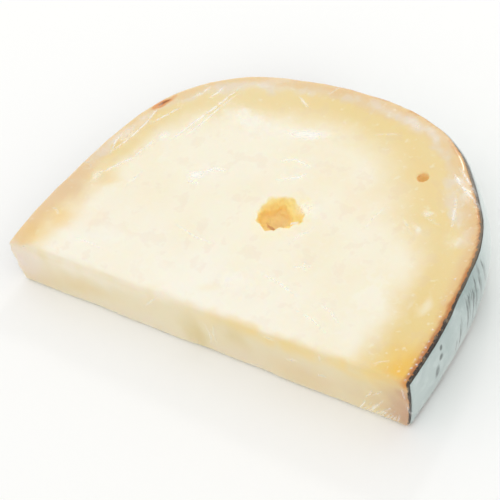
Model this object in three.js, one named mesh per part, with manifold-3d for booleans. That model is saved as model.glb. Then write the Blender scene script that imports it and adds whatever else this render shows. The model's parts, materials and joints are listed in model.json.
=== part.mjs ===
// Half wheel of aged hard cheese, lying flat, with a printed band round its rind.
// Millimetres. +X runs along the straight cut, +Y to the back of the curve, +Z up.
import * as THREE from "three";
import { mergeVertices } from "three/addons/utils/BufferGeometryUtils.js";
import Module from "manifold-3d";

const wasm = await Module();
wasm.setup();

// Driving dimensions of the slab
const cutLength = 330;
const depth = 198;
const thickness = 41;
const thicknessRise = 9.6; // the right end is this much thicker than the left
const outlinePower = 2.8; // 2 gives a round back, more a squarer one
const sideBulge = 4.8;
const sideBulgeAtCut = 1.5;
const footInset = { left: 3.2, right: 9.1 };
const cutLean = 3.7; // how far the foot of the straight cut stands forward
const leanReach = 50;
const cutEdgeRadius = { left: 7.5, right: 3.5 };
const rimRadius = 2;
const footRadius = 1;

// Flats and swellings of the rim: where along it (0 left, 1 right), how high, how wide
const rimSwells = [
  { at: 0.157, rise: -4.6, spread: 0.08 },
  { at: 0.525, rise: 3, spread: 0.087 },
  { at: 0.7, rise: -3.6, spread: 0.06 },
];
const swellFade = 0.04;
// Where the rim alone is drawn in over a side that stays full
const rimPulls = [
  { at: 0.86, rise: -2.8, spread: 0.045 },
  { at: 0.715, rise: -2.4, spread: 0.045 },
];

// Relief of the cut faces: its height and the lengths of its waves
const topRipple = 0.45;
const cutRipple = 0.35;
const broadWave = { x: 31, y: 27 };
const fineWave = { x: 13, y: 17 };

// Relief of the rind: its height, and its waves in turns along the rind and up it
const rindRoughness = 0.3;
const rindWaves = [
  { along: 61, up: 4 },
  { along: 143, up: -7 },
  { along: 37, up: 9 },
];

// The hollow in the middle of the top, as overlapping pockets, and the one small round eye
const pockets = [
  { x: 4.6, y: 86.8, sink: 2, long: 12.5, wide: 11.3, deep: 15, turn: 150, seed: 1 },
  { x: 6.3, y: 95.3, sink: -0.5, long: 11.5, wide: 8, deep: 7, turn: 10, seed: 2 },
  { x: 16.8, y: 90.8, sink: 0, long: 9.8, wide: 8, deep: 8, turn: 150, seed: 3 },
  { x: 8.4, y: 78.8, sink: 0.5, long: 5.4, wide: 4.6, deep: 9, turn: 20, seed: 4 },
  { x: 16.5, y: 84.3, sink: 0.5, long: 6.5, wide: 6, deep: 5.5, turn: 40, seed: 5 },
];
const pocketRoughness = 0.08;
const lumpWaves = [
  { x: 3.1, y: 2.3, z: 0, phase: 1.7 },
  { x: 0, y: 4.7, z: -3.9, phase: 2.9 },
  { x: 9.1, y: -8.3, z: 7.3, phase: 1 },
];
const eye = { x: 86.2, y: 149.2, sink: 1.6, long: 4.3, wide: 4, deep: 4, turn: 0, seed: 6 };
const eyeRoughness = 0.03;

// The printed band: from behind the back to the right-hand end of the rind
const band = { from: 0.44, fromCorner: 2.2, gap: 0.35, thickness: 0.6 };
// Towards the back its upper edge drops, by a share of one wall row
const bandDrop = { from: 0.8, to: 0.68, share: 0.6 };

// How finely the surfaces are divided
const arcSteps = 96;
const cutSteps = 36;
const footSteps = 2;
const wallSteps = 6;
const edgeSteps = 3;
const topRings = [0.94, 0.84, 0.7, 0.55, 0.4, 0.25, 0.12];
const bottomRings = [0.55];
const pocketDetail = 5;

const halfCut = cutLength / 2;
const capCentre = { x: 0, y: depth * 0.42 };
const loopLength = arcSteps + cutSteps;

const smooth = (t) => {
  const s = Math.min(Math.max(t, 0), 1);
  return s * s * (3 - 2 * s);
};

// Height of the top at a place, before the ripple
const topHeight = (x) => thickness + (thicknessRise * x) / cutLength;

function ripple(x, y) {
  const broad = Math.sin(x / broadWave.x + 0.6) * Math.sin(y / broadWave.y + 1.1);
  const fine = Math.sin(x / fineWave.x - y / fineWave.y + 2);
  return broad + fine / 2;
}

function rindRipple(share, q) {
  let sum = 0;
  for (const wave of rindWaves) {
    sum += Math.sin(share * wave.along + q * wave.up);
  }
  return (rindRoughness * sum) / 2;
}

const swellAt = (swell, share) => swell.rise * Math.exp(-(((share - swell.at) / swell.spread) ** 2));

function rimShift(share, q) {
  let shift = 0;
  for (const pull of rimPulls) {
    shift += swellAt(pull, share) * q * q;
  }
  for (const swell of rimSwells) {
    shift += swellAt(swell, share);
  }
  return shift * Math.min(1, Math.min(share, 1 - share) / swellFade);
}

// A point of the curved side: share runs 0 to 1 from its left end to its right one, q from foot to top
function sidePoint(share, q) {
  const turn = Math.PI * (1 - share);
  const c = Math.cos(turn);
  const s = Math.max(Math.sin(turn), 0);
  const squared = (Math.abs(c) / halfCut) ** outlinePower + (s / depth) ** outlinePower;
  const reach = squared ** (-1 / outlinePower);
  const inset = THREE.MathUtils.lerp(footInset.left, footInset.right, smooth(share));
  const fromCut = smooth(Math.min(share, 1 - share) / 0.1);
  const bulge = THREE.MathUtils.lerp(sideBulgeAtCut, sideBulge, fromCut);
  const roughness = rindRipple(share, q) * fromCut;
  const grow = rimShift(share, q) + bulge * 4 * q * (1 - q) - inset * (1 - q) + roughness;
  const lean = cutLean * (1 - q) * Math.exp(-(((reach * s) / leanReach) ** 2));
  return new THREE.Vector2(c * (reach + grow), s * (reach + grow) - lean);
}

// A point of the straight cut: t runs 0 to 1 from its right end to its left one
function cutPoint(t, q) {
  const point = sidePoint(1, q).lerp(sidePoint(0, q), t);
  const away = Math.sin(Math.PI * t);
  point.y += cutRipple * away * ripple(point.x * 1.7, q * 60);
  return point;
}

// The closed loop round the slab at height share q, counter-clockwise from above
function loopPoint(index, q) {
  const i = (index + loopLength) % loopLength;
  if (i < cutSteps) {
    return cutPoint(1 - i / cutSteps, q);
  }
  return sidePoint(1 - (i - cutSteps) / arcSteps, q);
}

const inwardNormals = [];
for (let i = 0; i < loopLength; i++) {
  const here = loopPoint(i, 1);
  const before = here.clone().sub(loopPoint(i - 1, 1)).normalize();
  const after = loopPoint(i + 1, 1).sub(here).normalize();
  const along = before.clone().add(after).normalize();
  const mitre = Math.max(along.dot(after), 0.6);
  inwardNormals.push(new THREE.Vector2(-along.y, along.x).divideScalar(mitre));
}

// Radius of the top edge: soft along the cut, tighter along the rim
function edgeRadiusAt(i) {
  if (i < cutSteps) {
    const fromCorner = Math.min(i, cutSteps - i) / cutSteps;
    const soft = THREE.MathUtils.lerp(cutEdgeRadius.left, cutEdgeRadius.right, smooth(i / cutSteps));
    return THREE.MathUtils.lerp(rimRadius, soft, smooth(fromCorner / 0.1));
  }
  return rimRadius;
}

// A point of the slab's skin: its loop place, its height and how far in from the side it lies
function skinPoint(i, z, inset) {
  const q = z / topHeight(loopPoint(i, 1).x);
  const point = loopPoint(i, q);
  point.addScaledVector(inwardNormals[i % loopLength], inset);
  return new THREE.Vector3(point.x, point.y, z);
}

// The rows of the side at one loop place, from the flat bottom to the top
function columnAt(i) {
  const top = topHeight(loopPoint(i, 1).x);
  const edge = edgeRadiusAt(i);
  const rows = [];
  for (let k = 0; k < footSteps; k++) {
    const a = (k / footSteps) * (Math.PI / 2);
    rows.push(skinPoint(i, footRadius * (1 - Math.cos(a)), footRadius * (1 - Math.sin(a))));
  }
  for (let k = 0; k <= wallSteps; k++) {
    rows.push(skinPoint(i, THREE.MathUtils.lerp(footRadius, top - edge, k / wallSteps), 0));
  }
  for (let k = 1; k <= edgeSteps; k++) {
    const a = (k / edgeSteps) * (Math.PI / 2);
    rows.push(skinPoint(i, top - edge * (1 - Math.sin(a)), edge * (1 - Math.cos(a))));
  }
  const last = rows[rows.length - 1];
  last.z = topHeight(last.x);
  return rows;
}

// A ring drawn in towards the middle of a cap
function ringTowardsMiddle(outer, keep, height) {
  return outer.map((p) => {
    const x = THREE.MathUtils.lerp(capCentre.x, p.x, keep);
    const y = THREE.MathUtils.lerp(capCentre.y, p.y, keep);
    return new THREE.Vector3(x, y, height(x, y, keep));
  });
}

// A closed surface from a stack of equal rings, with a point at each end
function stackOfRings(first, rings, last) {
  const points = [first, ...rings.flat(), last];
  const n = rings[0].length;
  const index = [];
  const at = (ring, i) => 1 + ring * n + (i % n);
  for (let i = 0; i < n; i++) {
    index.push(0, at(0, i + 1), at(0, i));
    for (let r = 0; r + 1 < rings.length; r++) {
      index.push(at(r, i), at(r, i + 1), at(r + 1, i + 1));
      index.push(at(r, i), at(r + 1, i + 1), at(r + 1, i));
    }
    index.push(points.length - 1, at(rings.length - 1, i), at(rings.length - 1, i + 1));
  }
  return new THREE.BufferGeometry().setFromPoints(points).setIndex(index);
}

function slabGeometry() {
  const columns = [];
  for (let i = 0; i < loopLength; i++) {
    columns.push(columnAt(i));
  }
  const sideRings = [];
  for (let row = 0; row < columns[0].length; row++) {
    sideRings.push(columns.map((column) => column[row]));
  }
  const flat = () => 0;
  const rippled = (x, y, keep) => topHeight(x) + topRipple * (1 - keep ** 4) * ripple(x, y);
  const bottom = bottomRings.map((keep) => ringTowardsMiddle(sideRings[0], keep, flat));
  const rim = sideRings[sideRings.length - 1];
  const top = topRings.map((keep) => ringTowardsMiddle(rim, keep, rippled));
  const under = new THREE.Vector3(capCentre.x, capCentre.y, 0);
  const over = new THREE.Vector3(capCentre.x, capCentre.y, rippled(capCentre.x, capCentre.y, 0));
  return stackOfRings(under, [...bottom, ...sideRings, ...top], over);
}

// A lumpy ball to carve with, its top opening through the top of the slab
function pocketGeometry(pocket, roughness) {
  const geometry = new THREE.IcosahedronGeometry(1, pocketDetail);
  const position = geometry.attributes.position;
  const p = new THREE.Vector3();
  for (let i = 0; i < position.count; i++) {
    p.fromBufferAttribute(position, i);
    let lump = 0;
    for (const wave of lumpWaves) {
      lump += Math.sin(wave.x * p.x + wave.y * p.y + wave.z * p.z + wave.phase * pocket.seed);
    }
    p.multiplyScalar(1 + (roughness * lump) / 2);
    position.setXYZ(i, p.x, p.y, p.z);
  }
  geometry.scale(pocket.long, pocket.wide, pocket.deep);
  geometry.rotateZ(THREE.MathUtils.degToRad(pocket.turn));
  geometry.translate(pocket.x, pocket.y, topHeight(pocket.x) - pocket.sink);
  return geometry;
}

function toSolid(geometry) {
  const bare = geometry.clone();
  bare.deleteAttribute("normal");
  bare.deleteAttribute("uv");
  const merged = mergeVertices(bare, 1e-4);
  const vertProperties = new Float32Array(merged.attributes.position.array);
  const triVerts = new Uint32Array(merged.index.array);
  return new wasm.Manifold(new wasm.Mesh({ numProp: 3, vertProperties, triVerts }));
}

function toGeometry(solid) {
  const mesh = solid.getMesh();
  const geometry = new THREE.BufferGeometry();
  geometry.setAttribute("position", new THREE.BufferAttribute(mesh.vertProperties, 3));
  geometry.setIndex(new THREE.BufferAttribute(mesh.triVerts, 1));
  geometry.computeVertexNormals();
  return geometry;
}

function cheeseGeometry() {
  let solid = toSolid(slabGeometry());
  for (const pocket of pockets) {
    solid = solid.subtract(toSolid(pocketGeometry(pocket, pocketRoughness)));
  }
  solid = solid.subtract(toSolid(pocketGeometry(eye, eyeRoughness)));
  return toGeometry(solid);
}

// One section of the band, some way from one column of the side to the next
function bandSection(i, share) {
  const here = columnAt(i);
  const next = columnAt(i + 1);
  const along = new THREE.Vector2(next[0].x - here[0].x, next[0].y - here[0].y).normalize();
  const roundShare = 1 - (i - cutSteps) / arcSteps;
  const drop = bandDrop.share * smooth((bandDrop.from - roundShare) / (bandDrop.from - bandDrop.to));
  const topRow = footSteps + wallSteps;
  const section = [];
  for (const out of [band.gap + band.thickness, band.gap]) {
    const side = [];
    for (let row = footSteps; row <= topRow; row++) {
      const p = here[row].clone().lerp(next[row], share);
      if (row === topRow) {
        p.lerp(here[row - 1], drop);
      }
      const inward = share > 0 ? new THREE.Vector2(-along.y, along.x) : inwardNormals[i];
      side.push(new THREE.Vector3(p.x - inward.x * out, p.y - inward.y * out, p.z));
    }
    section.push(...(section.length ? side.reverse() : side));
  }
  return section;
}

// The band lies over the side's own rows, so that it keeps an even gap to the rind
function bandGeometry() {
  const last = cutSteps + Math.round((1 - band.from) * arcSteps);
  const firstStep = loopPoint(cutSteps, 1).distanceTo(loopPoint(cutSteps + 1, 1));
  const sections = [bandSection(cutSteps, band.fromCorner / firstStep)];
  for (let i = cutSteps + 1; i <= last; i++) {
    sections.push(bandSection(i, 0));
  }
  return loftGeometry(sections);
}

// A closed solid through equal closed sections, with flat ends
function loftGeometry(sections) {
  const n = sections[0].length;
  const index = [];
  const at = (section, k) => section * n + (k % n);
  for (let s = 0; s + 1 < sections.length; s++) {
    for (let k = 0; k < n; k++) {
      index.push(at(s, k), at(s + 1, k), at(s + 1, k + 1));
      index.push(at(s, k), at(s + 1, k + 1), at(s, k + 1));
    }
  }
  const final = sections.length - 1;
  for (let k = 0; k + 1 < n / 2; k++) {
    const across = n - 1 - k;
    index.push(at(0, k), at(0, k + 1), at(0, across - 1));
    index.push(at(0, k), at(0, across - 1), at(0, across));
    index.push(at(final, k), at(final, across - 1), at(final, k + 1));
    index.push(at(final, k), at(final, across), at(final, across - 1));
  }
  return new THREE.BufferGeometry().setFromPoints(sections.flat()).setIndex(index);
}

const cheese = new THREE.Mesh(
  cheeseGeometry(),
  new THREE.MeshStandardMaterial({ color: 0xf3e3b8, roughness: 0.5, metalness: 0 }),
);
cheese.name = "cheese";

const label = new THREE.Mesh(
  bandGeometry(),
  new THREE.MeshStandardMaterial({ color: 0xc2d0ce, roughness: 0.35, metalness: 0 }),
);
label.name = "label";

// The whole stands on the origin, which is under the middle of its box
const slab = new THREE.Group();
slab.add(cheese, label);
const box = new THREE.Box3().setFromObject(slab);
const middle = box.getCenter(new THREE.Vector3());
slab.position.set(-middle.x, -middle.y, -box.min.z);

const group = new THREE.Group();
group.add(slab);

export default group;
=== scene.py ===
# Half wheel of aged hard cheese in clear film, dressed round the CAD frame. Metres, +Z up.
import json
import math
import random

import bpy
import numpy
from mathutils import Matrix, Vector, noise
from mathutils.kdtree import KDTree

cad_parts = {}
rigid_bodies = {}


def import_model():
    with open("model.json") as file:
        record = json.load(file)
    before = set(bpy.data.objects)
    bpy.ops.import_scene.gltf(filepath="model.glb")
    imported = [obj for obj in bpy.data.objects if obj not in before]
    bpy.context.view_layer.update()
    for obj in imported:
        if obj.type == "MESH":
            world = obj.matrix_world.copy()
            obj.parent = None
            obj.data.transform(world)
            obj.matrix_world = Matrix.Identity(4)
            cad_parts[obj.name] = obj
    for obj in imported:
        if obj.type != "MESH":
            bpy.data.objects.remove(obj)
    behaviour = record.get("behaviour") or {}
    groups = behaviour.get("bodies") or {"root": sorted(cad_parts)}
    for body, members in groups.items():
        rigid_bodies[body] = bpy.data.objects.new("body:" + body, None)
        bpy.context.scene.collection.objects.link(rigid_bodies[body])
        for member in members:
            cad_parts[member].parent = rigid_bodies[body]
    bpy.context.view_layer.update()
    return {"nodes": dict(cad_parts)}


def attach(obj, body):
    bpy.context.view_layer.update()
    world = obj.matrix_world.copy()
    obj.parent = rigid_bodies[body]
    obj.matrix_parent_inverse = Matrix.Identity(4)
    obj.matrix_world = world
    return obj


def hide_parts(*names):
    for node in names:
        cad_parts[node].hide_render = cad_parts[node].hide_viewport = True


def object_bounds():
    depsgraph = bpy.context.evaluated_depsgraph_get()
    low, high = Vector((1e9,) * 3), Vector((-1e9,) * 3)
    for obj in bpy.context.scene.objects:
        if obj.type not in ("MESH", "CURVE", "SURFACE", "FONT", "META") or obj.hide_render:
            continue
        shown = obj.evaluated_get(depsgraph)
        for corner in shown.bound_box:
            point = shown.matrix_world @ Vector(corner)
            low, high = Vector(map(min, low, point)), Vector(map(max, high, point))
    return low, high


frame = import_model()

mm = 0.001

# The slab's main measures, as the CAD has them.
slab = {
    "halfCut": 165 * mm,
    "leftHeight": 36.2 * mm,
    "rightHeight": 45.8 * mm,
    "cutFace": -100.1 * mm,  # y of the straight cut's top edge
    "centre": -60 * mm,  # y of the point that angles are measured round, with x 0
}

# How deep under the top face its soft patches fade out.
fadeDepth = {
    "patch": 16 * mm,
    "spot": 40 * mm,
}


def topHeight(x):
    share = (x + slab["halfCut"]) / (2 * slab["halfCut"])
    return slab["leftHeight"] + (slab["rightHeight"] - slab["leftHeight"]) * share


# Small helpers for objects and meshes.


def onlySelect(piece):
    bpy.ops.object.select_all(action="DESELECT")
    piece.select_set(True)
    bpy.context.view_layer.objects.active = piece


def copyOfNode(nodeName, pieceName):
    onlySelect(frame["nodes"][nodeName])
    bpy.ops.object.duplicate()
    piece = bpy.context.object
    bpy.ops.object.parent_clear(type="CLEAR_KEEP_TRANSFORM")
    for key in list(piece.keys()):
        del piece[key]
    piece.name = piece.data.name = pieceName
    bpy.ops.mesh.customdata_custom_splitnormals_clear()
    bpy.ops.object.mode_set(mode="EDIT")
    bpy.ops.mesh.select_all(action="SELECT")
    bpy.ops.mesh.remove_doubles(threshold=0.01 * mm)
    bpy.ops.object.mode_set(mode="OBJECT")
    return piece


def addModifier(piece, kind, **settings):
    modifier = piece.modifiers.new(kind.title(), kind)
    for name, value in settings.items():
        setattr(modifier, name, value)
    return modifier


def applyModifiers(piece):
    onlySelect(piece)
    for modifier in list(piece.modifiers):
        bpy.ops.object.modifier_apply(modifier=modifier.name)


def roughen(piece, size, height, group=""):
    grain = bpy.data.textures.new(piece.name + "Grain", "CLOUDS")
    grain.noise_scale = size
    grain.noise_depth = 2
    addModifier(
        piece, "DISPLACE", texture=grain, strength=2 * height, mid_level=0.5, vertex_group=group,
    )
    applyModifiers(piece)


def vertexPlaces(piece):
    places = numpy.empty(len(piece.data.vertices) * 3, numpy.float32)
    piece.data.vertices.foreach_get("co", places)
    return places.reshape(-1, 3).astype(float)


def vertexNormals(piece):
    normals = numpy.empty(len(piece.data.vertices) * 3, numpy.float32)
    piece.data.vertex_normals.foreach_get("vector", normals)
    return normals.reshape(-1, 3).astype(float)


def moveVertices(piece, places):
    piece.data.vertices.foreach_set("co", places.astype(numpy.float32).ravel())
    piece.data.update()


def selectVertices(piece, chosen):
    onlySelect(piece)
    bpy.ops.object.mode_set(mode="EDIT")
    bpy.ops.mesh.select_mode(type="VERT")
    bpy.ops.mesh.select_all(action="DESELECT")
    bpy.ops.object.mode_set(mode="OBJECT")
    piece.data.vertices.foreach_set("select", chosen)
    bpy.ops.object.mode_set(mode="EDIT")


def splitFiner(piece, chosen):
    selectVertices(piece, chosen)
    bpy.ops.mesh.subdivide(number_cuts=1)
    bpy.ops.object.mode_set(mode="OBJECT")


def addGroup(piece, name, weights):
    group = piece.vertex_groups.new(name=name)
    for index in numpy.flatnonzero(weights > 0.01):
        group.add([int(index)], float(weights[index]), "REPLACE")


def addAttribute(piece, name, values):
    layer = piece.data.attributes.new(name, "FLOAT", "POINT")
    layer.data.foreach_set("value", values.astype(numpy.float32))


def ease(low, high, values):
    share = numpy.clip((values - low) / (high - low), 0, 1)
    return share * share * (3 - 2 * share)


def wobble(places, size, height):
    # Smooth unevenness of about that size, from -height to height at most.
    scale = 1 / size
    return height * numpy.array([noise.noise(Vector(place) * scale) for place in places])


def unevenPlaces(places, size, height):
    shifted = places + numpy.array([0.31, 0.17, 0.53])
    moves = [wobble(places, size, height), wobble(shifted, size, height)]
    return places + numpy.stack([moves[0], moves[1], 0.5 * (moves[0] - moves[1])], axis=1)


def dabShares(places, dabs, second=1):
    # Soft patches, 1 at the centre: by x and y, or by x and z where the second axis is 2.
    shares = numpy.zeros(len(places))
    for x, other, long, wide, turn, share in dabs:
        across, up = places[:, 0] / mm - x, places[:, second] / mm - other
        c, s = math.cos(math.radians(turn)), math.sin(math.radians(turn))
        away = ((across * c + up * s) / long) ** 2 + ((up * c - across * s) / wide) ** 2
        shares = numpy.maximum(shares, share * numpy.exp(-away))
    return shares


def topDabs(places, dabs, depth):
    return dabShares(places, dabs) * ease(depth, depth / 2, topHeight(places[:, 0]) - places[:, 2])


def cutDabs(places, dabs):
    # On the straight cut, fading over its rounded edge.
    return dabShares(places, dabs, second=2) * ease(6 * mm, -1 * mm, places[:, 1] - slab["cutFace"])


def anglesRound(places):
    # In degrees: 0 near the right corner, 90 at the back and 180 near the left corner.
    return numpy.degrees(numpy.arctan2(places[:, 1] - slab["centre"], places[:, 0]))


def stationsAt(angles, rows):
    # Each column of the rows, read between the stations at the given angles.
    columns = list(zip(*rows))
    return [numpy.interp(angles, columns[0], column) for column in columns[1:]]


# Materials: sRGB hex colours and one way to add a node.


def colour(code):
    channels = [int(code[at:at + 2], 16) / 255 for at in (1, 3, 5)]
    linear = [c / 12.92 if c <= 0.04045 else ((c + 0.055) / 1.055) ** 2.4 for c in channels]
    return (*linear, 1.0)


def newMaterial(name):
    material = bpy.data.materials.new(name)
    material.use_nodes = True
    material.node_tree.nodes.clear()
    return material, material.node_tree


def addNode(tree, kind, settings=None, **links):
    node = tree.nodes.new("ShaderNode" + kind)
    for name, value in (settings or {}).items():
        setattr(node, name, value)
    for name, value in links.items():
        socket = node.inputs[int(name[1:])] if name[0] == "i" and name[1:].isdigit() else (
            node.inputs[name.replace("_", " ")]
        )
        if isinstance(value, bpy.types.NodeSocket):
            tree.links.new(value, socket)
        else:
            socket.default_value = value
    return node


def setRamp(node, stops):
    ramp = node.color_ramp
    while len(ramp.elements) < len(stops):
        ramp.elements.new(0.5)
    for element, (position, shade) in zip(ramp.elements, stops):
        element.position = position
        element.color = colour(shade) if isinstance(shade, str) else (shade, shade, shade, 1)
    return node.outputs["Color"]


def shareBetween(tree, value, low, high, smooth=True):
    # The value as a share: 0 at the low level, 1 at the high one.
    settings = {"interpolation_type": "SMOOTHSTEP" if smooth else "LINEAR"}
    levels = addNode(tree, "MapRange", settings, Value=value, From_Min=low, From_Max=high)
    return levels.outputs["Result"]


def noiseShare(tree, place, size, low, high, detail=3.0):
    # A noise of patches about that size, as a share from 0 to 1 between the two levels.
    patches = addNode(
        tree, "TexNoise", Vector=place, Scale=0.5 / size, Detail=detail, Roughness=0.55,
    )
    return shareBetween(tree, patches.outputs["Fac"], low, high)


def blendColour(tree, share, under, over):
    mix = addNode(tree, "Mix", {"data_type": "RGBA"})
    for index, value in ((0, share), (6, under), (7, over)):
        if isinstance(value, bpy.types.NodeSocket):
            tree.links.new(value, mix.inputs[index])
        else:
            mix.inputs[index].default_value = value
    return mix.outputs[2]


def calculate(tree, operation, *values):
    sockets = {"i" + str(index): value for index, value in enumerate(values)}
    return addNode(tree, "Math", {"operation": operation}, **sockets).outputs[0]


def readAttribute(tree, name):
    return addNode(tree, "Attribute", {"attribute_name": name}).outputs["Fac"]


# Camera, light and floor.

view = {
    "lookAt": Vector((-13.5, -28.9, 12.4)) * mm,
    "azimuth": 51.548,
    "elevation": 48.107,
    "roll": -23.424,
    "distance": 1.65,
    "lens": 176.54,
}

studio = {
    "skyStrength": 0.98,
    "lights": {
        "key": {"place": (-0.28, 1.24, 1.0), "side": 0.15, "power": 1.8},
    },
    "floorColour": "#FCFCFA",
    "floorSide": 8.0,
}


def placeCamera():
    turn = (
        Matrix.Rotation(math.radians(view["azimuth"]), 3, "Z")
        @ Matrix.Rotation(math.radians(90 - view["elevation"]), 3, "X")
        @ Matrix.Rotation(math.radians(view["roll"]), 3, "Z")
    )
    place = view["lookAt"] + turn.col[2] * view["distance"]
    bpy.ops.object.camera_add(location=place, rotation=turn.to_euler())
    camera = bpy.context.object
    camera.data.lens = view["lens"]
    camera.data.sensor_width = 36
    camera.data.clip_start = 0.05
    bpy.context.scene.camera = camera


def placeLight(name, light):
    place = Vector(light["place"])
    turn = (-place).to_track_quat("-Z", "Y").to_euler()
    bpy.ops.object.light_add(type="AREA", location=place, rotation=turn)
    lamp = bpy.context.object
    lamp.name = name + "Light"
    lamp.data.shape = "SQUARE"
    lamp.data.size = light["side"]
    lamp.data.energy = light["power"]


def lightStudio():
    scene = bpy.context.scene
    scene.view_settings.view_transform = "Standard"
    world = bpy.data.worlds.new("PaleRoom")
    world.use_nodes = True
    background = world.node_tree.nodes["Background"]
    background.inputs["Color"].default_value = colour("#FFFFFF")
    background.inputs["Strength"].default_value = studio["skyStrength"]
    scene.world = world
    for name, light in studio["lights"].items():
        placeLight(name, light)


def layFloor():
    bpy.ops.mesh.primitive_plane_add(size=studio["floorSide"], location=(0, 0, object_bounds()[0][2]))
    floor = bpy.context.object
    floor.name = "floor"
    material, tree = newMaterial("paleFloor")
    shader = addNode(tree, "BsdfDiffuse", Color=colour(studio["floorColour"]))
    addNode(tree, "OutputMaterial", Surface=shader.outputs[0])
    floor.data.materials.append(material)


placeCamera()
lightStudio()
print("camera and lights placed")

# The cheese: paste and rind in one piece.

cheese = {
    "voxel": 1.4 * mm,
    "hollow": {"centre": (10.7, -12.0), "reach": 24.0},  # part frame, mm
    "eye": {"centre": (86.2, 49.1), "reach": 8.0},
    "waves": {"size": 30 * mm, "height": 0.3 * mm},
    "grain": {"size": 5 * mm, "height": 0.06 * mm},
    "tear": {"size": 4 * mm, "height": 1.4 * mm},
    "crumb": {"size": 5 * mm, "height": 0.9 * mm},
    "rindGrain": {"size": 3.5 * mm, "height": 0.25 * mm},
}


def holeReach(places, hole):
    # How far each place is from a hole's centre, as a share of the hole's reach.
    away = places[:, :2] / mm - numpy.array(hole["centre"])
    return numpy.hypot(away[:, 0], away[:, 1]) / hole["reach"]


def nearHole(places):
    return numpy.minimum(holeReach(places, cheese["hollow"]), holeReach(places, cheese["eye"]))


def wallVertices(places, normals):
    # The curved side: upright, not the straight cut, and not the walls of a hole.
    upright = numpy.abs(normals[:, 2]) < 0.6
    return upright & (normals[:, 1] > -0.55) & (nearHole(places) > 1)


def distanceTo(places, targets):
    tree = KDTree(len(targets))
    for index, place in enumerate(targets):
        tree.insert(place, index)
    tree.balance()
    return numpy.array([tree.find(place)[2] for place in places])


def makeCheese():
    piece = copyOfNode("cheese", "cheeseHalf")
    addModifier(piece, "REMESH", mode="VOXEL", voxel_size=cheese["voxel"])
    addModifier(piece, "SMOOTH", factor=0.5, iterations=1)
    applyModifiers(piece)
    splitFiner(piece, nearHole(vertexPlaces(piece)) < 1)

    # Torn edges: the hollow's mouth and walls are shifted sideways here and there.
    places = vertexPlaces(piece)
    torn = unevenPlaces(places, cheese["tear"]["size"], cheese["tear"]["height"])
    share = ease(1.0, 0.8, holeReach(places, cheese["hollow"]))
    places[:, :2] += ((torn - places) * share[:, None])[:, :2]
    moveVertices(piece, places)

    places, normals = vertexPlaces(piece), vertexNormals(piece)
    wall = wallVertices(places, normals)
    sunk = topHeight(places[:, 0]) - places[:, 2]
    inHole = ease(1.0, 0.8, nearHole(places)) * ease(0.6 * mm, 2.5 * mm, sunk)
    addGroup(piece, "inHole", inHole)
    addGroup(piece, "wall", wall.astype(float))
    roughen(piece, **cheese["waves"])
    roughen(piece, **cheese["grain"])
    roughen(piece, **cheese["crumb"], group="inHole")
    roughen(piece, **cheese["rindGrain"], group="wall")
    bpy.ops.object.shade_smooth()
    return piece


def cutShares(places, normals, sunk):
    # 1 on the straight cut, fading unevenly over its rounded top edge.
    fromCut = (places[:, 1] - slab["cutFace"]) / mm + wobble(places, 9 * mm, 2.5)
    overEdge = 0.55 * ease(6, -1, fromCut) + 0.45 * ease(3, 0, fromCut) * ease(2, 8, sunk)
    return numpy.maximum(ease(0.3, 0.9, -normals[:, 1]), overEdge)


def measureCheese(piece):
    # What the paint goes by, for each vertex: depths and distances in mm, shares and angles.
    places, normals = vertexPlaces(piece), vertexNormals(piece)
    wall = wallVertices(places, normals)
    angle = anglesRound(places)
    sunk = (topHeight(places[:, 0]) - places[:, 2]) / mm
    inHole = ease(1.0, 0.85, nearHole(places))
    return {
        "places": places,
        "wall": wall,
        "fromRind": distanceTo(places, places[wall]) / mm,
        "angle": numpy.where(angle < -90, 180, numpy.clip(angle, 0, 180)),
        "sunk": sunk,
        "inHole": inHole,
        "cut": cutShares(places, normals, sunk) * (1 - inHole),
    }


def paintRind(piece, at):
    # The rind shows over the edge by its reach, and not at all in the left corner.
    reach = stationsAt(at["angle"], tones["rindReach"])[0]
    bareCorner = ease(-92, -99, at["places"][:, 1] / mm) * (at["places"][:, 0] < 0)
    reach = reach * (1 - at["cut"]) + tones["rindOnCut"] * at["cut"] - 14 * bareCorner
    onWall = at["wall"] * numpy.clip(at["sunk"], 0, 12)
    addAttribute(piece, "pastRind", at["fromRind"] - onWall - reach)
    addAttribute(piece, "dusty", stationsAt(at["angle"], tones["dusty"])[0])
    width, share = stationsAt(at["angle"], tones["orange"])
    past = (at["fromRind"] - numpy.maximum(reach, 0)) / width
    addAttribute(piece, "orange", share * ease(1.6, 0.4, past))


def paintRings(piece, at):
    # Zones that follow the rind at uneven distances.
    waver = wobble(at["places"], 16 * mm, 5) + wobble(at["places"], 5 * mm, 2)
    uneven = numpy.maximum(at["fromRind"] + waver, 0)
    for name, rows in tones["fromRind"].items():
        reach, softness, share = stationsAt(at["angle"], rows)
        wavering = numpy.maximum(at["fromRind"] + waver * numpy.clip(reach / 12, 0.1, 1), 0)
        addAttribute(piece, name, share * ease(reach + softness, reach - softness, wavering))
    for name, rows in tones["rings"].items():
        distance, width, share = stationsAt(at["angle"], rows)
        addAttribute(piece, name, share * numpy.exp(-(((uneven - distance) / width) ** 2)))


def paintPatches(piece, at):
    places = at["places"]
    milky = tones["milky"]
    front = -places[:, 1] / mm + wobble(places, 40 * mm, 16)
    fromRight = ease(*milky["fromRight"], places[:, 0] / mm)
    addAttribute(piece, "milky", milky["share"] * ease(*milky["between"], front) * fromRight)
    patchPlaces = unevenPlaces(places, 12 * mm, 6 * mm)
    for name, dabs in tones["dabs"].items():
        addAttribute(piece, name, topDabs(patchPlaces, dabs, fadeDepth["patch"]))
    for name, dabs in tones["faceDabs"].items():
        addAttribute(piece, name, cutDabs(patchPlaces, dabs))
    for name, dabs in tones["spots"].items():
        addAttribute(piece, name, topDabs(places, dabs, fadeDepth["spot"]))


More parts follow.
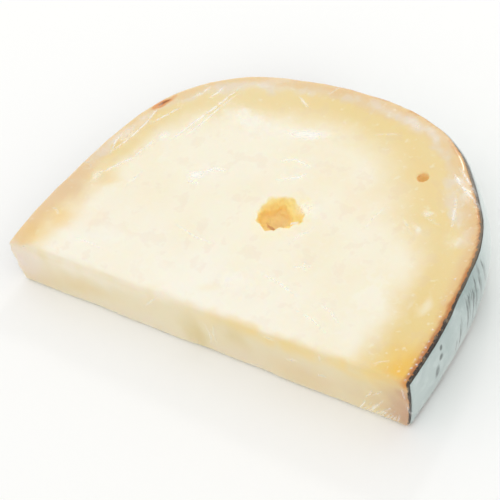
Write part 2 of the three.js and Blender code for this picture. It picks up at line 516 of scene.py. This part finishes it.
def paintCheese(piece):
    at = measureCheese(piece)
    addAttribute(piece, "cut", at["cut"])
    addAttribute(piece, "sunk", numpy.clip(at["sunk"], 0, 20) * at["inHole"])
    paintRind(piece, at)
    paintRings(piece, at)
    paintPatches(piece, at)


# Where the paste changes colour. Each row starts with its angle: 0 near the right corner, 90 at
# the back and 180 near the left corner. Distances are in mm in from the rind's face.
tones = {
    # How far the rind's dark face comes in over the top edge, below 0 where it stays under it.
    "rindReach": [
        (0, 2.1),
        (9, 1.3),
        (22, 1.5),
        (38, 1.5),
        (50, 0.6),
        (56, -0.4),
        (62, -2.6),
        (180, -2.6),
    ],
    "rindOnCut": 1.1,
    # How far the rind's edge is dusty brown rather than dark.
    "dusty": [(0, 0.0), (10, 0.1), (20, 0.75), (180, 0.8)],
    "orange": [
        # angle, reach, share
        (0, 2.2, 0.9),
        (20, 1.3, 0.8),
        (45, 1.0, 0.7),
        (70, 1.0, 0.5),
        (90, 1.0, 0.6),
        (115, 0.8, 0.4),
        (180, 0.6, 0.1),
    ],
    "fromRind": {
        "yellow": [
            # angle, reach, softness, share
            (0, 38, 14, 0.9),
            (20, 34, 14, 0.82),
            (40, 54, 24, 0.75),
            (55, 52, 26, 0.8),
            (66, 41, 22, 0.8),
            (90, 31, 14, 0.82),
            (118, 37, 15, 0.68),
            (135, 30, 13, 0.72),
            (155, 26, 11, 0.8),
            (180, 26, 12, 0.5),
        ],
        "peach": [
            (0, 5, 4, 0.3),
            (28, 12, 5, 0.7),
            (45, 11, 5, 0.6),
            (65, 14, 4, 0.6),
            (90, 12, 4, 0.75),
            (118, 8, 4, 0.6),
            (140, 9, 4, 0.5),
            (160, 13, 5, 0.7),
            (174, 16, 6, 0.95),
            (180, 14, 7, 0.8),
        ],
        "amber": [
            (0, 7, 5, 0.48),
            (14, 6, 4, 0.36),
            (28, 6, 5, 0.35),
            (50, 3, 3, 0.2),
            (180, 3, 3, 0),
        ],
        "rust": [
            (0, 3.5, 2.5, 0.8),
            (14, 2.5, 2, 0.6),
            (28, 2, 1.5, 0.35),
            (60, 2.5, 1.5, 0.3),
            (90, 2, 1, 0.3),
            (120, 2, 1, 0.1),
            (180, 2, 1, 0),
        ],
    },
    "rings": {
        "whitish": [
            # angle, distance, width, share
            (0, 12, 4, 0.0),
            (24, 14, 6, 0.1),
            (34, 16, 6, 0.6),
            (48, 10, 4.5, 0.5),
            (66, 9.5, 4.5, 0.75),
            (90, 9, 4.5, 0.4),
            (115, 10, 5, 0.7),
            (135, 8, 5, 0.5),
            (158, 8, 5, 0.7),
            (168, 8, 5, 0.2),
            (180, 8, 5, 0.0),
        ],
    },
    # Towards the straight cut the paste is whiter, but not at the right.
    "milky": {"between": (30, 75), "fromRight": (125, 40), "share": 0.42},
    "dabs": {
        "warm": [
            # x, y, long, wide, turn, share
            (156, -89, 15, 13, 0, 1.0),
            (138, -97, 26, 6, 0, 0.12),
            (-141, -68, 16, 10, 20, 0.5),
            (-128, -28, 10, 6, 0, 0.3),
            (-114, -58, 13, 10, 50, 0.14),
            (52, 18, 24, 12, -40, 0.14),
            (-152, -86, 16, 12, 0, 0.4),
            (0, -80, 7, 4, 20, 0.14),
            (-40, -94, 8, 5, 40, 0.14),
            (80, 52, 30, 12, -40, 0.12),
            (-138, 20, 6, 20, -20, 0.25),
        ],
        # Pale patches: partly the paste's own, partly painted reflections of the film, lying where the
        # film's whitish patches are.
        "paleAndReflection": [
            (133, 10, 9, 12, -20, 0.45),
            (119, 50, 14, 4, -45, 0.6),
            (-62, 53, 26, 9, -8, 0.9),
            (-10, 55, 20, 5, 5, 0.6),
            (15, -72, 12, 8, 0, 0.95),
            (25, -2, 6, 7, 0, 0.8),
            (0, -93, 20, 5, 0, 0.8),
            (104, -48, 22, 22, 0, 0.6),
            (143, -42, 7, 13, 0, 0.8),
            (0, 25, 12, 14, 0, 0.3),
            (-100, 4, 10, 7, 0, 0.45),
            (-110, 20, 4, 4, 0, 0.8),
            (-60, -2, 14, 8, 20, 0.6),
            (-95, -70, 18, 8, 10, 0.6),
            (-40, -82, 40, 8, 0, 0.5),
            (105, 9, 5, 3, -40, 0.7),
            (105, 23, 3, 2, 0, 0.8),
            (-120, -50, 10, 14, 0, 0.4),
            (60, -95, 40, 5, 0, 0.4),
        ],
    },
    # Small places: the rind that shows at the left, the eye and the hollow's crumbs, each with its own
    # colour, and whitish flecks in the hollow.
    "spots": {
        "crumbled": [
            (0.2, -15.6, 4.1, 2.8, 0, 1.15),
            (17, -10.8, 2, 0.9, 20, 0.9),
            (22, -8.5, 1.8, 0.9, 30, 0.9),
        ],
        "flecked": [
            (16, -11.5, 8, 2.0, 20, 1.1),
            (8, -13.5, 3, 2.0, 0, 0.8),
        ],
        "eyeDeep": [(86.2, 49.1, 7, 7, 0, 0.55)],
        "spot": [(-130.5, 44.5, 13, 3.2, 55, 1.0)],
        "spotCore": [(-129, 47, 6, 1.3, 55, 1.0)],
    },
    "faceDabs": {
        # x, z, long, wide, turn, share
        "faceYellow": [
            (62, 39, 62, 7, 2, 0.8),
            (130, 41, 28, 8, 2, 1.0),
            (78, 12, 22, 12, 0, 0.25),
            (-104, 17, 22, 7, 5, 0.35),
        ],
        "faceMilky": [
            (-110, 34, 60, 8, 2, 0.6),
            (-40, 40, 40, 6, 2, 0.6),
        ],
        "faceOlive": [
            (-8, 12, 9, 18, 0, 0.75),
            (26, 27, 12, 9, 0, 0.5),
            (-130, 9, 18, 8, 0, 0.2),
            (-150, 2, 14, 3, 0, 0.3),
        ],
        "facePink": [
            (-156, 20, 18, 16, 0, 0.75),
            (-66, 6, 60, 6, 0, 0.2),
            (20, 6, 30, 7, 0, 0.2),
        ],
        "facePeach": [
            (125, 18, 30, 12, 0, 0.4),
            (80, 14, 34, 14, 0, 0.45),
            (28, 12, 18, 14, 0, 0.2),
            (-104, 17, 22, 7, 5, 0.3),
            (-140, 10, 20, 9, 0, 0.2),
        ],
        "faceTan": [
            (156, 14, 13, 24, 0, 0.85),
            (160, 32, 8, 10, 0, 0.9),
        ],
        "faceAmber": [
            (163, 45, 7, 3.5, 0, 1.0),
            (161, 31, 4, 8, 0, 0.2),
        ],
    },
}

# Colours as the paste shows them in even light; the straight cut's tint also holds painted shade, the
# pale colour also painted reflections of the film, and the rind's dust colour also painted glints of
# the film.
paste = {
    "cream": "#F7EFD9",
    "creamDeep": "#F5EACC",
    "paleAndReflection": "#FAF4E3",
    "yellow": "#E8CD83",
    "peach": "#E4C497",
    "whitish": "#E7DDCC",
    "amber": "#DFA750",
    "warm": "#F0C350",
    "orange": "#B9743A",
    "rust": "#CE8434",
    "spot": "#DD8A34",
    "spotCore": "#9A5210",
    "cutTintAndShade": "#E2D2A5",
    "faceYellow": "#EDD184",
    "faceOlive": "#D6C07C",
    "facePink": "#E8D9CF",
    "facePeach": "#D9BC92",
    "faceTan": "#BE9070",
    "faceAmber": "#D28A2C",
    "faceMilky": "#F3E9D8",
    "milky": "#FCF7ED",
    "rind": "#32261B",
    "rindDustAndGlint": "#82725A",
    "crumb": "#D0965A",
    "eyeDeep": "#DC9638",
    "fleck": "#F7F2E4",
}

# The hollow and the eye by depth: their own yellow and orange, made brighter as painted light against
# the shade inside the hollow.
hollowPaintAndLight = {
    "depth": 16.0,  # mm, where the last colour is reached
    "colours": [
        (0.0, "#FBF0C8"),
        (0.1, "#FDE8A0"),
        (0.3, "#FFE083"),
        (0.55, "#FFD87C"),
        (1.0, "#FFE3A2"),
    ],
}


def layer(tree, shade, share, name, strength=1.0):
    if strength != 1.0:
        share = calculate(tree, "MULTIPLY", share, strength)
    return blendColour(tree, share, shade, colour(paste[name]))


def painted(tree, shade, *names):
    # Painted layers, each with a colour of its own name.
    for name in names:
        shade = layer(tree, shade, readAttribute(tree, name), name)
    return shade


def broken(tree, name, low, high, tear):
    # A painted share with its edges torn by a noise.
    torn = calculate(tree, "MULTIPLY_ADD", tear, 0.35, readAttribute(tree, name))
    return shareBetween(tree, torn, low, high)


def pasteShade(tree, grain):
    mottled = grain["mottled"]
    shade = layer(tree, colour(paste["cream"]), grain["cloudy"], "creamDeep")
    shade = layer(tree, shade, mottled, "paleAndReflection", 0.3)
    shade = painted(tree, shade, "milky", "yellow", "peach")
    shade = layer(tree, shade, broken(tree, "whitish", 0.2, 1.0, mottled), "whitish", 0.7)
    shade = painted(tree, shade, "warm", "amber")
    shade = layer(tree, shade, broken(tree, "rust", 0.25, 0.9, mottled), "rust", 0.9)
    # Pale patches, partly the paste's own and partly painted reflections of the film.
    shade = layer(tree, shade, broken(tree, "paleAndReflection", 0.3, 1.1, mottled), "paleAndReflection", 0.7)
    shade = layer(tree, shade, grain["speckled"], "paleAndReflection", 0.3)
    shade = painted(tree, shade, "orange")
    shade = layer(tree, shade, broken(tree, "spot", 0.4, 0.9, mottled), "spot", 0.85)
    shade = layer(tree, shade, broken(tree, "spotCore", 0.5, 0.9, mottled), "spotCore", 0.9)
    # The straight cut is tinted darker: partly its own tone, partly painted shade for the lesser light
    # on it.
    shade = layer(tree, shade, readAttribute(tree, "cut"), "cutTintAndShade", 0.75)
    return painted(tree, shade, *tones["faceDabs"])


def hollowShade(tree, grain):
    depth = calculate(tree, "MULTIPLY_ADD", grain["flecked"], 1.2, readAttribute(tree, "sunk"))
    # Colours by depth, brightened as painted light against the hollow's shade.
    byDepth = addNode(tree, "ValToRGB", Fac=calculate(tree, "DIVIDE", depth, hollowPaintAndLight["depth"]))
    shade = painted(tree, setRamp(byDepth, hollowPaintAndLight["colours"]), "eyeDeep")
    shade = layer(tree, shade, broken(tree, "flecked", 0.55, 0.85, grain["fine"]), "fleck", 0.9)
    return layer(tree, shade, broken(tree, "crumbled", 0.6, 1.05, grain["flecked"]), "crumb", 0.85)


def rindShade(tree, grain):
    # Dark, with pale dust in patches and along its inner edge; the patches of flecks are partly dust
    # and partly painted glints of the film over the rind.
    inner = shareBetween(tree, readAttribute(tree, "pastRind"), -4.4, -3.2, smooth=False)
    dustAndGlint = calculate(tree, "MULTIPLY", inner, readAttribute(tree, "dusty"))
    dustAndGlint = calculate(tree, "MAXIMUM", dustAndGlint, calculate(tree, "MULTIPLY", grain["flecked"], 0.8))
    return blendColour(tree, dustAndGlint, colour(paste["rind"]), colour(paste["rindDustAndGlint"]))


def rindShare(tree, grain):
    # The rind starts at a slightly ragged line.
    past = calculate(tree, "MULTIPLY_ADD", grain["fine"], 1.2, readAttribute(tree, "pastRind"))
    past = calculate(tree, "MULTIPLY_ADD", grain["flecked"], -0.5, past)
    return shareBetween(tree, past, 0.3, -0.3, smooth=False)


def cheeseMaterial():
    # Aged hard cheese: dense, waxy and a little translucent, so light softens just under the cut.
    material, tree = newMaterial("agedHardCheese")
    place = addNode(tree, "TexCoord").outputs["Object"]
    grain = {
        "cloudy": noiseShare(tree, place, 28 * mm, 0.38, 0.66),
        "mottled": noiseShare(tree, place, 7 * mm, 0.45, 0.62),
        "flecked": noiseShare(tree, place, 2.2 * mm, 0.5, 0.7),
        "speckled": noiseShare(tree, place, 2.5 * mm, 0.6, 0.72),
        "fine": noiseShare(tree, place, 0.9 * mm, 0.5, 0.68),
    }
    inHollow = shareBetween(tree, readAttribute(tree, "sunk"), 0.0, 1.5, smooth=False)
    shade = blendColour(tree, inHollow, pasteShade(tree, grain), hollowShade(tree, grain))
    shade = blendColour(tree, rindShare(tree, grain), shade, rindShade(tree, grain))

    relief = addNode(tree, "TexNoise", Vector=place, Scale=1 / (1.5 * mm), Detail=4.0)
    bump = addNode(tree, "Bump", Strength=0.25, Distance=0.15 * mm, Height=relief.outputs["Fac"])
    shader = addNode(
        tree, "BsdfPrincipled", Base_Color=shade, Roughness=0.55, IOR=1.45, Normal=bump.outputs[0],
        Specular_IOR_Level=0.15, Subsurface_Weight=0.4, Subsurface_Radius=(1.0, 0.6, 0.3),
        Subsurface_Scale=5 * mm,
    )
    addNode(tree, "OutputMaterial", Surface=shader.outputs[0])
    return material


cheesePiece = makeCheese()
paintCheese(cheesePiece)
cheesePiece.data.materials.clear()
cheesePiece.data.materials.append(cheeseMaterial())
print("cheese:", len(cheesePiece.data.vertices), "vertices")

# The paper band on the rind.

band = {
    "crease": {"size": 9 * mm, "height": 0.25 * mm},
    "paper": "#96A9A6",
    "paperPale": "#D0DBD8",
    "ink": "#3E4A48",
    "dashFields": [
        # Run from, run to in degrees, lowest and highest share of the height.
        (12.5, 24, 0.2, 0.88),
        (46, 62, 0.15, 0.8),
        (78, 94, 0.15, 0.8),
    ],
    "dashRoom": (0.36, 0.05),  # dashes per mm along the band and up it
    "lean": 0.28,  # how far all marks lean along the band for each mm up it
    "strokes": [
        # Degrees, height, reach along the band and up it in mm, share.
        (-1, 38.5, 1.6, 2.0, 1.0),
        (-1.9, 32, 2.1, 2.3, 1.0),
        (-4, 23, 2.4, 5, 1.0),
        (4.1, 19, 1.4, 6, 0.7),
        (6.5, 22, 1.5, 9, 1.0),
        (7.8, 28, 1.0, 8, 0.4),
        (11.4, 27, 1.4, 12, 0.9),
        (16.7, 28, 1.2, 14, 0.7),
        (19.6, 31, 1.3, 13, 0.6),
        (22.4, 28, 1.8, 8, 0.4),
    ],
}


def makeBand():
    piece = copyOfNode("label", "paperBand")
    addModifier(piece, "SUBSURF", subdivision_type="SIMPLE", levels=2, render_levels=2)
    applyModifiers(piece)
    roughen(piece, **band["crease"])
    places = vertexPlaces(piece)
    turn = anglesRound(places)
    up = places[:, 2] / topHeight(places[:, 0])
    dashed = numpy.zeros(len(places))
    for start, end, low, high in band["dashFields"]:
        within = ease(start - 1, start + 1, turn) * ease(end + 1, end - 1, turn)
        within *= ease(low - 0.05, low + 0.05, up) * ease(high + 0.05, high - 0.05, up)
        dashed = numpy.maximum(dashed, within)
    addAttribute(piece, "dashed", dashed)
    addAttribute(piece, "along", numpy.radians(turn) * slab["halfCut"] / mm)
    addAttribute(piece, "up", places[:, 2] / mm)
    addAttribute(piece, "paler", ease(18, 32, turn))
    bpy.ops.object.shade_smooth_by_angle(angle=math.radians(50))
    return piece


def vectorMath(tree, operation, first, second=(0, 0, 0)):
    return addNode(tree, "VectorMath", {"operation": operation}, i0=first, i1=second)


def dashShare(tree, onBand):
    # Fields of plain dashes that run up the band.
    scaled = vectorMath(tree, "MULTIPLY", onBand, (*band["dashRoom"], 0)).outputs[0]
    dashes = addNode(tree, "TexNoise", Vector=scaled, Scale=1.0, Detail=1.5)
    share = shareBetween(tree, dashes.outputs["Fac"], 0.55, 0.63, smooth=False)
    return calculate(tree, "MULTIPLY", share, readAttribute(tree, "dashed"))


def strokeShare(tree, onBand, degrees, height, wide, tall, share):
    run = math.radians(degrees) * slab["halfCut"] / mm - band["lean"] * height
    offset = vectorMath(tree, "SUBTRACT", onBand, (run, height, 0)).outputs[0]
    away = vectorMath(tree, "DIVIDE", offset, (wide, tall, 1)).outputs[0]
    away = vectorMath(tree, "LENGTH", away).outputs["Value"]
    return calculate(tree, "MULTIPLY", shareBetween(tree, away, 1.2, 0.6, smooth=False), share)


def bandMaterial():
    # Coated paper of a flat pale blue-grey: smooth and dull, creased where it was stretched.
    material, tree = newMaterial("printedPaper")
    place = addNode(tree, "TexCoord").outputs["Object"]
    cloudy = noiseShare(tree, place, 30 * mm, 0.4, 0.65)
    streaky = noiseShare(tree, place, 5 * mm, 0.5, 0.7)
    shade = colour(band["paper"])
    for share, strength in ((cloudy, 0.5), (streaky, 0.4), (readAttribute(tree, "paler"), 0.85)):
        share = calculate(tree, "MULTIPLY", share, strength)
        shade = blendColour(tree, share, shade, colour(band["paperPale"]))

    # Plain dashes and worn strokes.
    leaning = calculate(
        tree, "MULTIPLY_ADD", readAttribute(tree, "up"), -band["lean"], readAttribute(tree, "along"),
    )
    onBand = addNode(tree, "CombineXYZ", X=leaning, Y=readAttribute(tree, "up")).outputs[0]
    ink = dashShare(tree, onBand)
    worn = noiseShare(tree, place, 1.5 * mm, 0.2, 0.45)
    for stroke in band["strokes"]:
        share = calculate(tree, "MULTIPLY", strokeShare(tree, onBand, *stroke), worn)
        ink = calculate(tree, "MAXIMUM", ink, share)
    shade = blendColour(tree, calculate(tree, "MULTIPLY", ink, 0.85), shade, colour(band["ink"]))
    shader = addNode(tree, "BsdfPrincipled", Base_Color=shade, Roughness=0.5, IOR=1.5)
    addNode(tree, "OutputMaterial", Surface=shader.outputs[0])
    return material


bandPiece = makeBand()
bandPiece.data.materials.clear()
bandPiece.data.materials.append(bandMaterial())
print("band:", len(bandPiece.data.vertices), "vertices")

# The clear film round it all.

film = {
    "voxel": 1.8 * mm,
    "lift": 0.5 * mm,
    "waves": {"size": 22 * mm, "height": 0.25 * mm},
    # Folds that run over the top: height and width in mm, then x, y along the fold.
    "topFolds": [
        (0.5, 0.9, (-143, 14), (-143, 2), (-140, -9)),
        (0.5, 0.9, (-131, 44), (-131, 26), (-134, 10), (-141, -8)),
        (0.4, 1.2, (-118, -1), (-126, -12), (-136, -25), (-139, -38)),
        (0.4, 0.9, (-115, 15), (-118, 5), (-121, -4)),
        (0.5, 0.8, (-114, 46), (-122, 34), (-128, 24)),
        (0.5, 0.9, (-83, 76), (-87, 62), (-92, 48), (-98, 34), (-104, 16)),
        (0.4, 0.7, (-80, 72), (-86, 56), (-90, 40), (-96, 24)),
        (0.4, 1.0, (-94, 75), (-96, 66), (-100, 59)),
        (0.4, 1.0, (-104, 70), (-107, 63), (-111, 57)),
        (0.4, 0.9, (-36, 82), (-30, 79), (-22, 75)),
        (0.4, 1.2, (-66, -2), (-57, 6), (-47, 7)),
        (0.4, 0.9, (-70, -11), (-66, -9), (-60, -10)),
        (0.4, 0.9, (-18, 27), (-7, 32), (9, 30)),
        (0.4, 0.9, (-10, 12), (5, 19), (8, 24)),
        (0.6, 1.0, (104, 59), (113, 52), (124, 46), (138, 38)),
        (0.5, 0.9, (106, 64), (116, 57), (128, 48)),
        (0.4, 0.9, (116, 43), (122, 30), (129, 14)),
        (0.25, 0.7, (77, -66), (87, -69), (99, -76)),
        (0.25, 0.7, (25, -59), (43, -62), (60, -67)),
        (0.25, 0.7, (62, -76), (80, -79), (96, -86)),
        (0.3, 0.7, (44, -47), (50, -45), (56, -42)),
        (0.3, 0.7, (48, -41), (51, -44), (54, -48)),
        (0.2, 0.7, (-55, -45), (-38, -49), (-20, -50)),
    ],
    # Folds on the straight cut, as x, z along the fold.
    "cutFolds": [
        (0.35, 0.6, (119, 1), (124, 8), (128.5, 15)),
        (0.3, 0.6, (121, 1), (127.5, 7), (132, 14)),
        (0.3, 0.6, (124, 1), (132, 9), (139, 18)),
        (0.35, 0.6, (127, 1), (134, 10), (142.5, 21)),
        (0.25, 0.6, (129, 1), (134, 5), (138, 9)),
        (0.3, 0.6, (132, 1), (138.5, 7), (144, 14)),
        (0.35, 0.6, (136, 1), (142.5, 10), (149.5, 20)),
        (0.3, 0.6, (139, 1), (143, 6), (147, 11)),
        (0.3, 0.6, (142, 1), (146, 7), (150.5, 15)),
        (0.3, 0.6, (145, 1), (148, 6), (150, 10)),
        (0.3, 0.6, (148, 1), (151, 7), (154, 14)),
        (0.3, 0.6, (128, 17), (132, 22), (136, 28)),
        (0.3, 0.6, (134, 22), (138, 25), (143, 30)),
        (0.3, 0.6, (160.6, 42), (160.2, 36), (160.8, 30)),
        (0.3, 0.6, (161, 27), (160.4, 20), (161, 13)),
        (0.2, 0.6, (3, 8), (6, 18), (4, 30)),
        (0.15, 0.6, (10, 12), (9, 22), (12, 32)),
    ],
    # Small creases strewn over every side: lengths in mm.
    "creases": {"count": 60, "shortest": 8, "longest": 30, "height": 0.2, "width": 0.7},
    "fullGlintFrom": 0.55 * mm,  # folds this high get a full painted white glint
    "foldDrop": 6 * mm,  # a fold on the top reaches this far down the side
    "foldBehind": 2 * mm,  # and one on the cut this far behind it
    "farAway": 1.0,  # metres, past every fold's reach
    # Little nicks where the film is stretched over the rim, each painted white as a glint: x, y, turn.
    "nicks": {
        "long": 1.3,
        "height": 0.5,
        "width": 0.6,
        "places": [
            (161.2, -97.5, 40),
            (161.6, -93, 100),
            (160.4, -88.5, 60),
            (161.8, -84.5, 20),
            (159.8, -82, 120),
            (161.5, -79, 70),
            (160.6, -75, 30),
            (161.2, -71.5, 110),
            (160, -66.5, 50),
            (158, -58, 80),
            (156.5, -47, 20),
            (154, -35.5, 100),
            (150.6, -18, 60),
        ],
    },
    # Whitish patches on the film: partly its own crumpled haze, partly painted reflections of bright
    # light on it.
    "hazeAndReflection": [
        # x, y, long, wide, turn, share
        (-11, 53.5, 15, 3.5, 10, 0.9),
        (-67, -3, 5, 3, 20, 0.8),
        (-62, 53, 24, 8, -5, 0.3),
        (119, 49, 16, 3, -38, 0.6),
        (138, 12, 9, 12, 0, 0.3),
        (15, -71, 11, 8, 0, 0.5),
        (26, -2, 7, 6, 0, 0.6),
        (106, 22, 3, 2, 0, 0.6),
        (105, 9, 5, 2, -40, 0.5),
        (55, 87, 28, 4, -12, 0.35),
        (-60, 87, 22, 5, 22, 0.3),
        (-140, 10, 8, 26, -8, 0.35),
        (0, 24, 9, 12, 0, 0.12),
        (-112, 20, 4, 4, 0, 0.5),
        (-138, -28, 4, 5, 0, 0.5),
    ],
}


def foldPath(fold, side):
    # A fold with its points in metres, on the face that it runs over.
    height, width, *points = fold
    if side == "top":
        path = [Vector((x * mm, y * mm, topHeight(x * mm))) for x, y in points]
    else:
        path = [Vector((x * mm, slab["cutFace"], z * mm)) for x, z in points]
    return height * mm, width * mm, path, side


def strewnFolds(places):
    # Short creases at random places, each with its ends and its middle on the film.
    creases = film["creases"]
    draw = random.Random(11)
    tree = KDTree(len(places))
    for index, place in enumerate(places):
        tree.insert(place, index)
    tree.balance()
    folds = []
    for _ in range(creases["count"]):
        start = Vector(places[draw.randrange(len(places))])
        way = Vector([draw.uniform(-1, 1) for axis in range(3)]).normalized()
        reach = draw.uniform(creases["shortest"], creases["longest"]) * mm
        path = [tree.find(start + way * reach * share)[0] for share in (0, 0.25, 0.5, 0.75, 1)]
        path = [point for at, point in enumerate(path) if at == 0 or (point - path[at - 1]).length > mm]
        if len(path) > 1:
            folds.append((creases["height"] * mm, creases["width"] * mm, path, "any"))
    return folds


def nickFolds():
    nicks = film["nicks"]
    folds = []
    for x, y, turn in nicks["places"]:
        run, rise = (nicks["long"] * part(math.radians(turn)) for part in (math.cos, math.sin))
        folds.append(foldPath((nicks["height"], nicks["width"], (x, y), (x + run, y + rise)), "top"))
    return folds


def distanceToFold(places, fold):
    # Distance along the face only, so that the film's lift does not count; off that face, far.
    height, width, path, side = fold
    flat = places.copy()
    if side == "top":
        flat[:, 2] = topHeight(places[:, 0])
    elif side == "cut":
        flat[:, 1] = slab["cutFace"]
    away, along = distanceToPath(flat, path)
    if side == "top":
        away[flat[:, 2] - places[:, 2] > film["foldDrop"]] = film["farAway"]
    elif side == "cut":
        away[places[:, 1] > slab["cutFace"] + film["foldBehind"]] = film["farAway"]
    return away, along


def distanceToPath(places, path):
    # Each place's distance to the path, and how far along the path it is from 0 to 1.
    nearest = numpy.full(len(places), film["farAway"])
    along = numpy.zeros(len(places))
    steps = len(path) - 1
    for index in range(steps):
        start, reach = numpy.array(path[index]), numpy.array(path[index + 1] - path[index])
        share = numpy.clip((places - start) @ reach / (reach @ reach), 0, 1)
        away = numpy.linalg.norm(places - start - share[:, None] * reach, axis=1)
        closer = away < nearest
        nearest[closer] = away[closer]
        along[closer] = (index + share[closer]) / steps
    return nearest, along


def makeFilm():
    piece = copyOfNode("cheese", "clingFilm")
    other = copyOfNode("label", "bandCopy")
    onlySelect(piece)
    other.select_set(True)
    bpy.ops.object.join()
    bpy.ops.object.mode_set(mode="EDIT")
    bpy.ops.mesh.select_all(action="SELECT")
    bpy.ops.mesh.convex_hull(join_triangles=False)
    bpy.ops.object.mode_set(mode="OBJECT")
    addModifier(piece, "REMESH", mode="VOXEL", voxel_size=film["voxel"])
    addModifier(piece, "DISPLACE", strength=film["lift"], mid_level=0.0)
    applyModifiers(piece)
    roughen(piece, **film["waves"])
    folds = [foldPath(fold, "top") for fold in film["topFolds"]]
    folds += [foldPath(fold, "cut") for fold in film["cutFolds"]]
    folds += nickFolds()
    strewn = strewnFolds(vertexPlaces(piece))

    # The mesh is split once near every fold, and once more near the ones that are placed.
    for group, reach in ((folds + strewn, 2.5 * mm), (folds, 2 * mm)):
        places = vertexPlaces(piece)
        near = numpy.zeros(len(places), bool)
        for fold in group:
            near |= distanceToFold(places, fold)[0] < reach
        splitFiner(piece, near)

    places, normals = vertexPlaces(piece), vertexNormals(piece)
    lift = numpy.zeros(len(places))
    creased = numpy.zeros(len(places))
    for fold in folds + strewn:
        height, width, path, side = fold
        away, along = distanceToFold(places, fold)
        taper = numpy.sin(math.pi * numpy.clip(along, 0.03, 0.97)) ** 0.7
        ridge = taper * numpy.exp(-((away / width) ** 2))
        lift += height * ridge
        # Each fold is painted white along its ridge as a glint, fuller for higher folds.
        creased = numpy.maximum(creased, ridge * min(1, height / film["fullGlintFrom"]))
    moveVertices(piece, places + normals * lift[:, None])
    # The film's whitish patches, partly painted reflections.
    addAttribute(piece, "hazeAndReflection", topDabs(places, film["hazeAndReflection"], fadeDepth["patch"]))
    addAttribute(piece, "crease", creased)
    bpy.ops.object.shade_smooth()
    return piece


def filmMaterial():
    # Polyethylene cling film: clear, with a thin hard gloss; white is painted along its folds as
    # glints, and in patches that are partly its crumpled haze and partly painted reflections.
    material, tree = newMaterial("clingFilm")
    place = addNode(tree, "TexCoord").outputs["Object"]
    wrinkle = addNode(tree, "TexNoise", Vector=place, Scale=1 / (14 * mm), Detail=3.0, Distortion=1.0)
    bump = addNode(tree, "Bump", Strength=0.4, Distance=0.2 * mm, Height=wrinkle.outputs["Fac"])
    streaky = noiseShare(tree, place, 9 * mm, 0.35, 0.62, detail=2.0)
    glinting = noiseShare(tree, place, 1.8 * mm, 0.34, 0.52)
    hazeAndReflection = calculate(tree, "MULTIPLY", readAttribute(tree, "hazeAndReflection"), streaky)
    # The glints painted along the folds, broken into dashes.
    crease = calculate(tree, "MULTIPLY", readAttribute(tree, "crease"), glinting)
    white = calculate(tree, "MULTIPLY", calculate(tree, "MAXIMUM", hazeAndReflection, crease), 0.85)

    # The film is one thin layer: only its outer side mirrors.
    outer = calculate(tree, "SUBTRACT", 1.0, addNode(tree, "NewGeometry").outputs["Backfacing"])
    mirror = addNode(tree, "Fresnel", IOR=1.5, Normal=bump.outputs[0])
    share = calculate(tree, "MULTIPLY", mirror.outputs[0], outer)
    clear = addNode(tree, "BsdfTransparent")
    gloss = addNode(tree, "BsdfGlossy", Color=colour("#FFFFFF"), Roughness=0.15, Normal=bump.outputs[0])
    mix = addNode(tree, "MixShader", i0=share, i1=clear.outputs[0], i2=gloss.outputs[0])
    # A white diffuse layer for the painted glints and reflections and the crumpled haze.
    glintAndHazeWhite = addNode(tree, "BsdfDiffuse", Color=colour("#FBFBF8"))
    whiteShare = calculate(tree, "MULTIPLY", white, outer)
    mix = addNode(tree, "MixShader", i0=whiteShare, i1=mix.outputs[0], i2=glintAndHazeWhite.outputs[0])
    addNode(tree, "OutputMaterial", Surface=mix.outputs[0])
    return material


filmPiece = makeFilm()
filmPiece.data.materials.clear()
filmPiece.data.materials.append(filmMaterial())
print("film:", len(filmPiece.data.vertices), "vertices")

for piece, nodeName in ((cheesePiece, "cheese"), (filmPiece, "cheese"), (bandPiece, "label")):
    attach(piece, "root")
    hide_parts(nodeName)

layFloor()
print("floor laid")
